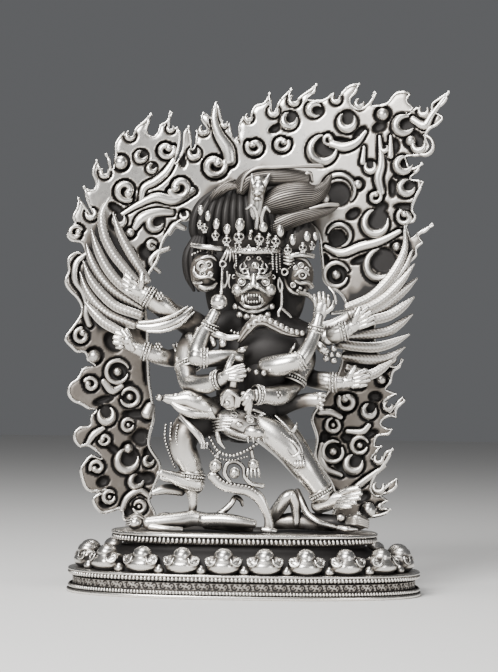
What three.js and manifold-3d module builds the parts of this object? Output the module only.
// A cast metal statue of a winged, many-armed deity embracing a consort. The pair tramples two lying
// figures on an oval lotus pedestal, in front of a horseshoe ring of flames.
// Millimetres, +Z up, the viewer stands on the -Y side. The origin is the middle of the underside.
import * as THREE from "three";
import { mergeVertices } from "three/addons/utils/BufferGeometryUtils.js";
import Module from "manifold-3d";

const wasm = await Module();
wasm.setup();

// Driving dimensions of the pedestal
const FLANGE = { halfWidth: 113, halfDepth: 60, height: 2.5 };
const LIP = { halfWidth: 112, halfDepth: 59, bottom: 10.5, top: 15 };
const DRUM = { halfWidth: 109, bottom: 5 };
const PETAL_BED = { halfWidth: 97, neck: 76, neckTop: 34 };
const PLATE = { halfWidth: 85, halfDepth: 45, bottom: 34, top: 39 };
const OVAL_POWER = 2.5;
const OVAL_SEGMENTS = 24;
const PETALS = { count: 20, width: 24, height: 18, depth: 21, centreZ: 23.2, ring: 94, phase: -0.16 };

// Driving dimensions of the flame ring
const SHEET = { thickness: 4, y: 31, bend: 0.0009, seat: 39.3 };
const ROLL = { radius: 3, rise: 0.8, sides: 3, steps: 4 };

// Places are given in the front view, x across and z up, as an eye in front sees them.
const EYE = { distance: 1500, height: 135, seenHeight: 140.6, lean: 0.0157, leanZ: 20 };

// Driving dimensions of the figures
const LIMB_SIDES = 5;
const BAND_RISE = 1.5;

const SILVER = 0xb8b2a6;

// Front view to true place, at depth y behind the middle of the pedestal
function at(x, z, y) {
  const scale = 1 + y / EYE.distance;
  const straightX = x - EYE.lean * (z - EYE.leanZ);
  const straightZ = z + EYE.lean * x;
  return new THREE.Vector3(straightX * scale, y, EYE.height + (straightZ - EYE.seenHeight) * scale);
}

// A closed three.js geometry as a solid for joining and cutting
function solid(geometry) {
  const bare = geometry.index ? geometry.clone() : geometry;
  bare.deleteAttribute("normal");
  bare.deleteAttribute("uv");
  const merged = mergeVertices(bare, 1e-4);
  const mesh = new wasm.Mesh({
    numProp: 3,
    vertProperties: merged.attributes.position.array,
    triVerts: Uint32Array.from(merged.index.array),
  });
  return new wasm.Manifold(mesh);
}

function join(solids) {
  return solids.reduce((whole, next) => whole.add(next));
}

// A finished solid as a named mesh
function piece(name, body) {
  const { numProp, vertProperties, triVerts } = body.getMesh();
  const count = vertProperties.length / numProp;
  const positions = new Float32Array(count * 3);
  for (let i = 0; i < count; i++) {
    positions.set(vertProperties.subarray(i * numProp, i * numProp + 3), i * 3);
  }
  const geometry = new THREE.BufferGeometry();
  geometry.setAttribute("position", new THREE.BufferAttribute(positions, 3));
  geometry.setIndex(new THREE.BufferAttribute(triVerts, 1));
  const material = new THREE.MeshStandardMaterial({ color: SILVER, roughness: 0.35, metalness: 1 });
  const mesh = new THREE.Mesh(geometry, material);
  mesh.name = name;
  return mesh;
}

// A rounded limb through [x, z, y] stops. Its rings lie evenly, or at marks from 0 to 1 along it, and
// the radii are spread over them. Flatness thins it from front to back.
function limb(stops, radii, { sides = LIMB_SIDES, flatness = 1, marks } = {}) {
  const curve = new THREE.CatmullRomCurve3(stops.map(([x, z, y]) => at(x, z, y)), false, "centripetal");
  const ringCount = marks ? marks.length : Math.max(stops.length, radii.length);
  const rows = ringCount + 1;
  const geometry = new THREE.SphereGeometry(1, sides, rows);
  const { position, uv } = geometry.attributes;
  const viewAxis = new THREE.Vector3(0, 1, 0);
  const upAxis = new THREE.Vector3(0, 0, 1);
  for (let i = 0; i < position.count; i++) {
    const row = Math.round((1 - uv.getY(i)) * rows);
    const ring = Math.min(Math.max(row - 1, 0), ringCount - 1);
    const t = marks ? marks[ring] : ring / (ringCount - 1);
    const place = marks ? ring : t * (radii.length - 1);
    const low = Math.min(Math.floor(place), radii.length - 2);
    const radius = THREE.MathUtils.lerp(radii[low], radii[low + 1], place - low);
    const tangent = curve.getTangent(t);
    const reference = Math.abs(tangent.y) > 0.92 ? upAxis : viewAxis;
    const across = new THREE.Vector3().crossVectors(tangent, reference).normalize();
    const inward = new THREE.Vector3().crossVectors(tangent, across);
    const point = curve.getPoint(t);
    if (row === 0) point.addScaledVector(tangent, -0.55 * radius);
    else if (row === rows) point.addScaledVector(tangent, 0.55 * radius);
    else {
      const spread = Math.hypot(position.getX(i), position.getZ(i));
      point.addScaledVector(across, (radius * position.getX(i)) / spread);
      point.addScaledVector(inward, (radius * flatness * position.getZ(i)) / spread);
    }
    position.setXYZ(i, point.x, point.y, point.z);
  }
  return solid(geometry);
}

// An egg shape at a front-view place, with its half sizes and a tilt in the picture plane
function blob([x, z, y], [halfX, halfY, halfZ], { tilt = 0, across = 6, down = 4 } = {}) {
  const geometry = new THREE.SphereGeometry(1, across, down);
  geometry.rotateX(Math.PI / 2);
  geometry.scale(halfX, halfY, halfZ);
  geometry.rotateY(THREE.MathUtils.degToRad(-tilt));
  const place = at(x, z, y);
  geometry.translate(place.x, place.y, place.z);
  return solid(geometry);
}

// A small pointed jewel or ear
function spike([x, z, y], height, radius, tilt = 0, sides = 4) {
  const geometry = new THREE.ConeGeometry(radius, height, sides, 1);
  geometry.rotateX(Math.PI / 2);
  geometry.rotateY(THREE.MathUtils.degToRad(-tilt));
  const place = at(x, z, y);
  geometry.translate(place.x, place.y, place.z);
  return solid(geometry);
}

// Turns a round profile into the pedestal's fuller oval
function intoOval(x, y, depthRatio) {
  const angle = Math.atan2(y, x);
  const radius = Math.hypot(x, y);
  const cosine = Math.cos(angle);
  const sine = Math.sin(angle);
  const power = 2 / OVAL_POWER;
  return [
    radius * Math.sign(cosine) * Math.abs(cosine) ** power,
    radius * depthRatio * Math.sign(sine) * Math.abs(sine) ** power,
  ];
}

// The pedestal's mouldings, from the flange up to the plate
function mouldings() {
  const profile = [
    [0, 0],
    [FLANGE.halfWidth, 0],
    [FLANGE.halfWidth, FLANGE.height],
    [DRUM.halfWidth, DRUM.bottom],
    [DRUM.halfWidth, LIP.bottom],
    [LIP.halfWidth, LIP.bottom + 1],
    [LIP.halfWidth, LIP.top],
    [PETAL_BED.halfWidth, LIP.top + 0.5],
    [PETAL_BED.neck, PETAL_BED.neckTop],
    [PLATE.halfWidth - 1, PLATE.bottom],
    [PLATE.halfWidth, PLATE.bottom + 1.2],
    [PLATE.halfWidth, PLATE.top - 1],
    [PLATE.halfWidth - 1.5, PLATE.top],
    [0, PLATE.top],
  ];
  const geometry = new THREE.LatheGeometry(
    profile.map(([r, z]) => new THREE.Vector2(r, z)),
    OVAL_SEGMENTS,
  );
  geometry.rotateX(Math.PI / 2);
  const position = geometry.attributes.position;
  for (let i = 0; i < position.count; i++) {
    const z = position.getZ(i);
    const ratio = FLANGE.halfDepth / FLANGE.halfWidth;
    const [x, y] = intoOval(position.getX(i), position.getY(i), ratio);
    position.setXYZ(i, x, y, z);
  }
  return solid(geometry);
}

// Places spread evenly along the oval, each with the way it faces
function roundTheOval(count, halfWidth, phase) {
  const ratio = FLANGE.halfDepth / FLANGE.halfWidth;
  const samples = 720;
  const ring = [];
  let length = 0;
  for (let i = 0; i <= samples; i++) {
    const angle = (i / samples) * 2 * Math.PI - Math.PI / 2;
    const [x, y] = intoOval(halfWidth * Math.cos(angle), halfWidth * Math.sin(angle), ratio);
    if (i > 0) length += Math.hypot(x - ring[i - 1].x, y - ring[i - 1].y);
    ring.push({ x, y, length });
  }
  return Array.from({ length: count }, (_, k) => {
    const wanted = ((k + 0.5 + phase) / count) * length;
    const i = Math.max(1, ring.findIndex((spot) => spot.length >= wanted));
    const facing = Math.atan2(ring[i].y - ring[i - 1].y, ring[i].x - ring[i - 1].x) - Math.PI / 2;
    return { x: ring[i].x, y: ring[i].y, facing };
  });
}

// One puffy petal, bellied outward, with a narrower brow
function petal({ x, y, facing }) {
  const geometry = new THREE.SphereGeometry(1, 6, 4);
  geometry.rotateX(Math.PI / 2);
  const position = geometry.attributes.position;
  for (let i = 0; i < position.count; i++) {
    const z = position.getZ(i);
    const width = (PETALS.width / 2) * (z > 0.5 ? 0.85 : 1);
    position.setXYZ(i, position.getX(i) * PETALS.depth * 0.62, position.getY(i) * width, (z * PETALS.height) / 2);
  }
  geometry.rotateZ(facing);
  geometry.translate(x, y, PETALS.centreZ);
  return solid(geometry);
}

function lotusPedestal() {
  const petals = roundTheOval(PETALS.count, PETALS.ring, PETALS.phase).map(petal);
  return piece("lotus_pedestal", join([mouldings(), ...petals]));
}

// Flame tongues round the ring, from the left foot over the top to the right foot.
// Each has its valley before it, then its tip.
const TONGUES = [
  [[-78, 44], [-97, 62]],
  [[-80, 70], [-104, 80]],
  [[-88, 90], [-109, 105]],
  [[-96, 114], [-113, 134]],
  [[-92, 146], [-103, 156]],
  [[-101, 160], [-115, 167]],
  [[-104, 188], [-115, 205]],
  [[-106, 224], [-113, 236]],
  [[-109, 242], [-106, 258]],
  [[-97, 248], [-103, 265]],
  [[-95, 265], [-94, 283]],
  [[-90, 273], [-89, 286]],
  [[-84, 277], [-77, 300]],
  [[-72, 296], [-59, 312]],
  [[-60, 298], [-46, 313]],
  [[-44, 298], [-35, 304]],
  [[-33, 290], [-31, 301]],
  [[-26, 299], [-26, 313]],
  [[-21, 309], [-18, 320]],
  [[-12, 303], [-9, 306]],
  [[-2, 290], [-1, 310]],
  [[3, 306], [16, 326]],
  [[19, 312], [31, 328]],
  [[32, 317], [47, 331]],
  [[44, 320], [58, 326]],
  [[60, 320], [75, 331]],
  [[72, 316], [84, 326]],
  [[84, 317], [107, 324]],
  [[105, 312], [112, 316]],
  [[114, 311], [132, 326]],
  [[119, 300], [128, 309]],
  [[104, 284], [115, 280]],
  [[108, 272], [116, 268]],
  [[110, 255], [110, 246]],
  [[104, 236], [121, 241]],
  [[106, 222], [111, 221]],
  [[100, 190], [104, 178]],
  [[98, 160], [101, 155]],
  [[92, 138], [98, 132]],
  [[90, 124], [101, 131]],
  [[90, 112], [98, 116]],
  [[84, 102], [94, 108]],
  [[83, 88], [96, 97]],
  [[84, 76], [98, 79]],
  [[84, 62], [94, 60]],
];
const RIGHT_FOOT = [81, 44];

// The open middle, from the right foot over the figures' hair to the left foot
const INNER_EDGE = [
  [62, 44], [55, 72], [47, 100], [46, 118], [58, 150], [62, 190], [51, 206], [51, 238], [44, 250],
  [24, 262], [-8, 268], [-34, 254], [-50, 234], [-58, 212], [-60, 170], [-60, 100], [-54, 80], [-62, 44],
];

// Rolled flame curls on the sheet, as centre, radius and where the open side faces in degrees
const CURLS = [
  [-76, 263, 7, 200], [-41, 264, 9, 100], [-19, 279, 9, 90], [-64, 286, 6, 45], [-103, 168, 6, 160],
  [-88, 120, 7, 100], [-74, 91, 8, 60], [7, 291, 7, 60], [50, 288, 10, 45], [66, 306, 7, 95],
  [102, 304, 7, 20], [104, 270, 7, 40], [84, 241, 9, 55], [86, 214, 10, 55], [80, 122, 6, 60],
  [57, 95, 7, 90], [71, 87, 7, 60],
];

// One side of a tongue, bowed as a flame is: hollow on the way up, full on the way down
function flameSide(outline, from, to, bow) {
  const [x0, z0] = from;
  const [x1, z1] = to;
  const control = [(x0 + x1) / 2 - (z1 - z0) * bow, (z0 + z1) / 2 + (x1 - x0) * bow];
  outline.quadraticCurveTo(control[0], control[1], x1, z1);
}

// The flat sheet: tongues all round the outside, a smooth edge inside
function flameSheet() {
  const outline = new THREE.Shape();
  outline.moveTo(...TONGUES[0][0]);
  TONGUES.forEach(([valley, tip], i) => {
    const next = i + 1 < TONGUES.length ? TONGUES[i + 1][0] : RIGHT_FOOT;
    flameSide(outline, valley, tip, 0.18);
    flameSide(outline, tip, next, 0.16);
  });
  outline.lineTo(...INNER_EDGE[0]);
  outline.splineThru(INNER_EDGE.slice(1).map(([x, z]) => new THREE.Vector2(x, z)));
  return new THREE.ExtrudeGeometry(outline, { depth: SHEET.thickness, bevelEnabled: false, curveSegments: 2 });
}

// One rolled curl, most of a ring, half sunk in the front of the sheet
function curl([x, z, radius, open]) {
  const arc = new THREE.CatmullRomCurve3(
    Array.from({ length: 5 }, (_, k) => {
      const angle = THREE.MathUtils.degToRad(open + 50 + k * 65);
      return new THREE.Vector3(x + radius * Math.cos(angle), z + radius * Math.sin(angle), 0);
    }),
  );
  const section = new THREE.Shape();
  for (let k = 0; k < ROLL.sides; k++) {
    const angle = (k / ROLL.sides) * 2 * Math.PI;
    section[k ? "lineTo" : "moveTo"](ROLL.radius * Math.cos(angle), ROLL.radius * Math.sin(angle));
  }
  const geometry = new THREE.ExtrudeGeometry(section, { extrudePath: arc, steps: ROLL.steps, bevelEnabled: false });
  geometry.translate(0, 0, SHEET.thickness + ROLL.rise);
  return geometry;
}

// Carries flat front-view geometry, x and z in its plane and its own z towards the viewer, to the sheet
function bentToSheet(geometry) {
  const position = geometry.attributes.position;
  for (let i = 0; i < position.count; i++) {
    const x = position.getX(i);
    const y = SHEET.y - SHEET.bend * x * x - position.getZ(i) + SHEET.thickness / 2;
    const place = at(x, position.getY(i), y);
    position.setXYZ(i, place.x, place.y, Math.max(place.z, SHEET.seat));
  }
  return geometry;
}

function flameAureole() {
  const body = join([flameSheet(), ...CURLS.map(curl)].map((g) => solid(bentToSheet(g))));
  return piece("flame_aureole", body);
}

// One feather: a flat tapered blade with a ridge, through front-view stops from tip to root
function feather(stops, y) {
  const last = stops.length - 1;
  const route = stops.map(([x, z], i) => [x, z, y - 1.5 * (i / last)]);
  return limb(route, [0.8, 2.9, 3, 2.4], { sides: 4, flatness: 0.6 });
}

const LEFT_FEATHERS = [
  [[-86, 258], [-91, 246], [-87, 228], [-72, 207]],
  [[-84, 248], [-80, 236], [-74, 224], [-64, 207]],
  [[-98, 238], [-94, 225], [-84, 207], [-66, 191]],
  [[-101, 228], [-98, 218], [-90, 204], [-68, 187]],
  [[-103, 217], [-97, 204], [-86, 191], [-71, 181]],
  [[-105, 210], [-99, 196], [-89, 184], [-74, 175]],
  [[-102, 191], [-96, 184], [-88, 176], [-80, 170]],
];
const RIGHT_FEATHERS = [
  [[103, 240], [103, 224], [92, 204], [68, 187]],
  [[108, 224], [103, 213], [93, 200], [74, 186]],
  [[111, 206], [104, 200], [95, 192], [76, 181]],
  [[109, 194], [102, 188], [92, 182], [72, 176]],
  [[108, 183], [100, 177], [88, 171], [66, 168]],
  [[106, 170], [96, 165], [82, 162], [62, 164]],
  [[103, 162], [92, 155], [80, 154], [62, 156]],
  [[96, 154], [88, 148], [80, 145], [66, 151]],
];
const WING_Y = 14;

function leftWing() {
  const feathers = LEFT_FEATHERS.map((stops, i) => feather(stops, WING_Y - 0.4 * i));
  const coverts = limb([[-73, 213, 12], [-68, 198, 11], [-74, 180, 11], [-82, 170, 11]], [3, 7, 7, 3], { flatness: 0.4 });
  const shoulder = limb([[-72, 195, 12], [-50, 186, 14], [-30, 178, 18.5]], [7, 6, 5], { flatness: 0.4 });
  return piece("left_wing", join([coverts, shoulder, ...feathers]));
}

function rightWing() {
  const feathers = RIGHT_FEATHERS.map((stops, i) => feather(stops, WING_Y - 0.4 * i));
  const coverts = limb([[72, 190, 11], [68, 176, 11], [62, 162, 12], [68, 150, 12]], [3, 7, 7, 3], { flatness: 0.4 });
  const shoulder = limb([[68, 175, 12], [50, 176, 14], [36, 176, 18.5]], [7, 6, 5], { flatness: 0.4 });
  return piece("right_wing", join([coverts, shoulder, ...feathers]));
}

// Rings along an arm with five stops: shoulder, elbow, both edges of the bracelet, palm, fingertips
const ARM_MARKS = [0, 0.25, 0.45, 0.46, 0.53, 0.54, 0.75, 1];

// An arm through its shoulder, elbow, wrist, palm and fingertips, with a bracelet at the wrist
function arm(stops, shoulder, elbow, wrist, palm) {
  const bracelet = wrist + BAND_RISE;
  const radii = [shoulder, elbow, wrist, bracelet, bracelet, wrist * 0.9, palm, palm * 0.55];
  return limb(stops, radii, { marks: ARM_MARKS });
}

// The deity's three heads with their browbands, brows, noses and jaws
function heads() {
  return [
    limb([[-26, 208, 3], [6, 206, 3], [35, 206, 3]], [8, 11, 8]),
    blob([6.5, 203, -9], [13.5, 13, 19], { across: 8, down: 6 }),
    blob([6, 189, -16], [10, 8.5, 9]),
    spike([5.5, 203, -22], 10, 4),
    limb([[-7, 212, -16], [6.5, 215, -21], [20, 212, -16]], [2.4, 3.6, 2.4]),
    limb([[-7, 221, -11], [6.5, 221, -18], [20, 219, -11]], [4, 5, 4]),
    blob([-24, 210, -4], [11, 13, 14]),
    blob([-31, 204, -8], [5, 6, 5]),
    blob([35, 207, -4], [10.5, 13, 13]),
    blob([41, 202, -9], [4.5, 6, 5]),
  ];
}

// Pointed skulls on the browbands: front-view foot and tilt
const CROWN_POINTS = [
  [-30, 222, -8, -8], [-20, 223, -9, -4], [-5, 227, -14, 0], [6, 229, -17, 0],
  [16, 227, -14, 2], [30, 220, -9, 5], [40, 218, -6, 10],
];
const CROWN_POINT = { height: 22, radius: 4.6, rise: 5 };

function crowns() {
  return CROWN_POINTS.map(([x, z, y, tilt]) => {
    return spike([x, z + CROWN_POINT.rise, y], CROWN_POINT.height, CROWN_POINT.radius, tilt);
  });
}

// The piled hair, its wind-blown locks and the small animal head in it
function hair() {
  return [
    blob([2, 238, 4], [37, 13, 30], { across: 8, down: 6 }),
    blob([-32, 214, 4], [8, 9, 18]),
    limb([[-6, 258, 6], [10, 269, 6], [28, 273, 5], [45, 274, 4]], [9, 6, 5, 2], { flatness: 0.7 }),
    limb([[14, 250, 4], [30, 256, 3], [46, 260, 2], [57, 272, 1]], [9, 8.5, 7, 1], { flatness: 0.6 }),
    limb([[24, 240, 5], [38, 247, 4], [50, 249, 3], [61, 254, 2]], [8, 6, 4, 1], { flatness: 0.6 }),
    blob([10, 260, -6], [6, 7, 9]),
    spike([5.5, 269, -6], 9, 2.4, -12),
    spike([15, 269, -6], 9, 2.4, 12),
    limb([[8, 238, -10], [8, 253, -10]], [4, 4], { sides: 4 }),
  ];
}

// Rings along a leg with four stops: hip, knee, calf, both edges of the anklet
const LEG_MARKS = [0, 0.33, 0.67, 0.9, 0.91, 0.99, 1];

// A leg through its hip, knee, calf and ankle, with an anklet
function leg(stops, hip, knee, calf, ankle) {
  const anklet = ankle + BAND_RISE;
  const radii = [hip, knee, calf, ankle, anklet, anklet, ankle * 0.9];
  return limb(stops, radii, { sides: 6, marks: LEG_MARKS });
}

// The deity's body from the hips to the neck, and both legs
function deityBody() {
  return [
    limb([[-2, 114, 2], [1, 140, 2], [5, 168, 3]], [17, 18, 21], { sides: 6, flatness: 0.72 }),
    limb([[-29, 171, 5], [5, 176, 4], [36, 170, 5]], [8, 11, 8], { sides: 6, flatness: 0.9 }),
    limb([[5, 172, 1], [6, 196, -2]], [9, 10]),
    leg([[-12, 118, -2], [-34, 110, -16], [-38, 96, -15], [-33, 79, -12]], 12, 10.5, 8, 6.4),
    limb([[-33, 82, -12], [-34, 73, -12], [-33, 62, -12], [-33, 58.5, -12]], [6.4, 5.5, 3.2, 2.8]),
    limb([[-33, 74, -13], [-44, 77, -17], [-54, 81, -20]], [5, 4, 1.2]),
    leg([[10, 116, -2], [24, 103, -14], [38, 85, -18], [51, 67, -16]], 13, 11, 8.5, 6.2),
    limb([[49, 62, -14], [58, 63, -18], [68, 64, -24], [74, 67, -26]], [5.5, 7, 6.5, 4], { flatness: 0.8 }),
  ];
}

// The deity's arms, each from the shoulder to the fingertips. Left and right are the picture's.
function deityArms() {
  return [
    arm([[-32, 168, 2], [-38, 146, -12], [-15, 141, -39], [-7, 146, -42], [1, 144, -43]], 8, 7.4, 4.4, 5.4),
    arm([[36, 166, 2], [34, 142, -12], [9, 132, -39], [3, 129, -45], [0, 120, -42]], 8, 7.6, 4.4, 3.6),
    limb([[-9, 122, -38], [-8, 132, -40], [-7, 144, -41]], [6, 8, 3]),
    arm([[-24, 172, 6], [-42, 181, -3], [-61, 195, -10], [-69, 199, -12], [-76, 209, -13]], 8, 7.4, 4.8, 5.6),
    limb([[-68, 175, -10], [-52, 178, -8], [-36, 186, -4]], [3, 5, 2.4], { flatness: 0.8 }),
    arm([[-26, 162, 8], [-47, 155, -1], [-65, 160, -9], [-76, 167, -12], [-82, 166, -13]], 7, 6, 4.4, 7.4),
    arm([[34, 170, 6], [50, 170, 1], [64, 172, -8], [72, 178, -10], [84, 184, -11]], 7, 6.4, 4.8, 5.6),
    arm([[30, 156, 6], [44, 142, 0], [57, 140, -8], [66, 141, -10], [78, 145, -11]], 7, 6.2, 4.6, 5.6),
  ];
}

// The consort, seen from the back, her arms and one foot round the deity
function consort() {
  return [
    limb([[10, 122, -16], [11, 138, -19], [14, 154, -20]], [13, 12, 14], { sides: 6 }),
    blob([16, 160, -26], [19, 12, 17], { across: 8, down: 5 }),
    limb([[0, 169, -32], [9, 177, -36], [22, 175, -36], [38, 169, -30]], [4, 5, 4.5, 3]),
    arm([[2, 155, -27], [-31, 154, -33], [-22, 175, -26], [-16, 190, -23], [-15, 196, -22]], 7, 6.6, 4.6, 5.6),
    limb([[-15, 194, -22], [-14, 212, -14]], [1.8, 1.8], { sides: 4 }),
    arm([[14, 149, -32], [36, 152, -37], [46, 173, -30], [48, 184, -29], [50, 197, -29]], 7, 6.6, 4, 5.4),
    limb([[20, 122, -14], [36, 126, -16], [51, 128, -19]], [10, 7, 4]),
  ];
}

// Rods and tokens held near the heads and hands
function tokens() {
  return [
    limb([[33, 200, -14], [46, 190, -29]], [2, 2], { sides: 4 }),
    limb([[50, 187, -28], [70, 183, -11]], [1.8, 1.8], { sides: 4 }),
    blob([54, 167, -6], [6, 5, 6]),
  ];
}

// Animal hides round the hips, with their heads, paws and hanging ends
function hides() {
  return [
    limb([[-20, 121, -22], [-32, 125, -28], [-42, 127, -28], [-54, 129, -27]], [8, 7, 4.6, 1.8]),
    blob([-4, 112, -28], [18, 11, 10], { tilt: -16, across: 8, down: 5 }),
    blob([7, 106, -32], [9, 7, 5.5], { tilt: -12 }),
    limb([[8, 112, -27], [22, 105, -29], [36, 87, -28]], [9, 9, 4]),
    spike([32, 110, -19], 12, 4, 20),
    limb([[-38, 117, -22], [-31, 107, -26], [-25, 98, -27]], [2.6, 2.6, 3.4], { sides: 4 }),
    limb([[-22, 106, -20], [-12, 95, -23], [2, 96, -22], [16, 103, -18]], [3, 2.6, 2.6, 3], { sides: 4 }),
    limb([[-15, 95, -23], [-18, 86, -22], [-19, 81, -22]], [2, 4.4, 3]),
    limb([[3, 97, -22], [6, 85, -22], [8, 74, -22]], [2, 4, 3.4]),
    limb([[-19, 81, -22], [-8, 72, -22], [7, 70, -22], [15, 57, -20], [16, 46, -18]], [2.6, 3.8, 4.6, 3.2, 2.6], { sides: 4 }),
    limb([[0, 74, -22], [-2, 86, -22], [-9, 87, -22], [-11, 78, -22]], [1.8, 1.8], { sides: 4 }),
  ];
}

function embracingCouple() {
  const parts = [
    ...deityBody(), ...heads(), ...crowns(), ...hair(), ...deityArms(), ...consort(), ...tokens(), ...hides(),
  ];
  return piece("embracing_couple", join(parts));
}

// The lying figure under the left foot, on its belly with its head to the left
function leftTrampledFigure() {
  return piece("left_trampled_figure", join([
    limb([[-62, 49.5, -18], [-45, 50.5, -17], [-30, 51, -15], [-20, 50, -15]], [4, 5.2, 5.4, 5]),
    blob([-69, 49.7, -19], [6, 4.5, 4.5]),
    blob([-50, 53, -13], [5, 5, 3.4]),
    limb([[-24, 50.6, -18], [-8, 50.4, -20], [6, 49.5, -22]], [5, 4.6, 4]),
    limb([[-22, 50, -10], [2, 48.4, -8]], [4, 2.6]),
    limb([[-18, 52, -14], [-8, 64, -14], [-2, 61, -14]], [3, 2.8, 1.6]),
  ]));
}

// The lying figure under the right foot, on its back with a knee drawn up
function rightTrampledFigure() {
  return piece("right_trampled_figure", join([
    limb([[22, 50, -4], [38, 50, -6], [56, 49, -10], [68, 49, -14]], [4.5, 5, 5.4, 5]),
    blob([75, 50, -16], [8, 7, 6]),
    blob([79, 57, -14], [4.5, 4.5, 5]),
    limb([[21, 52, -6], [26, 62, -12], [31, 67, -14], [33, 50, -9]], [3, 3.2, 3.8, 2.4]),
    limb([[36, 66, -9], [39, 59, -14], [46, 50, -20], [68, 48, -15]], [1.8, 2, 2.6, 3]),
  ]));
}

const statue = new THREE.Group();
statue.add(
  lotusPedestal(),
  flameAureole(),
  embracingCouple(),
  leftWing(),
  rightWing(),
  leftTrampledFigure(),
  rightTrampledFigure(),
);

export default statue;
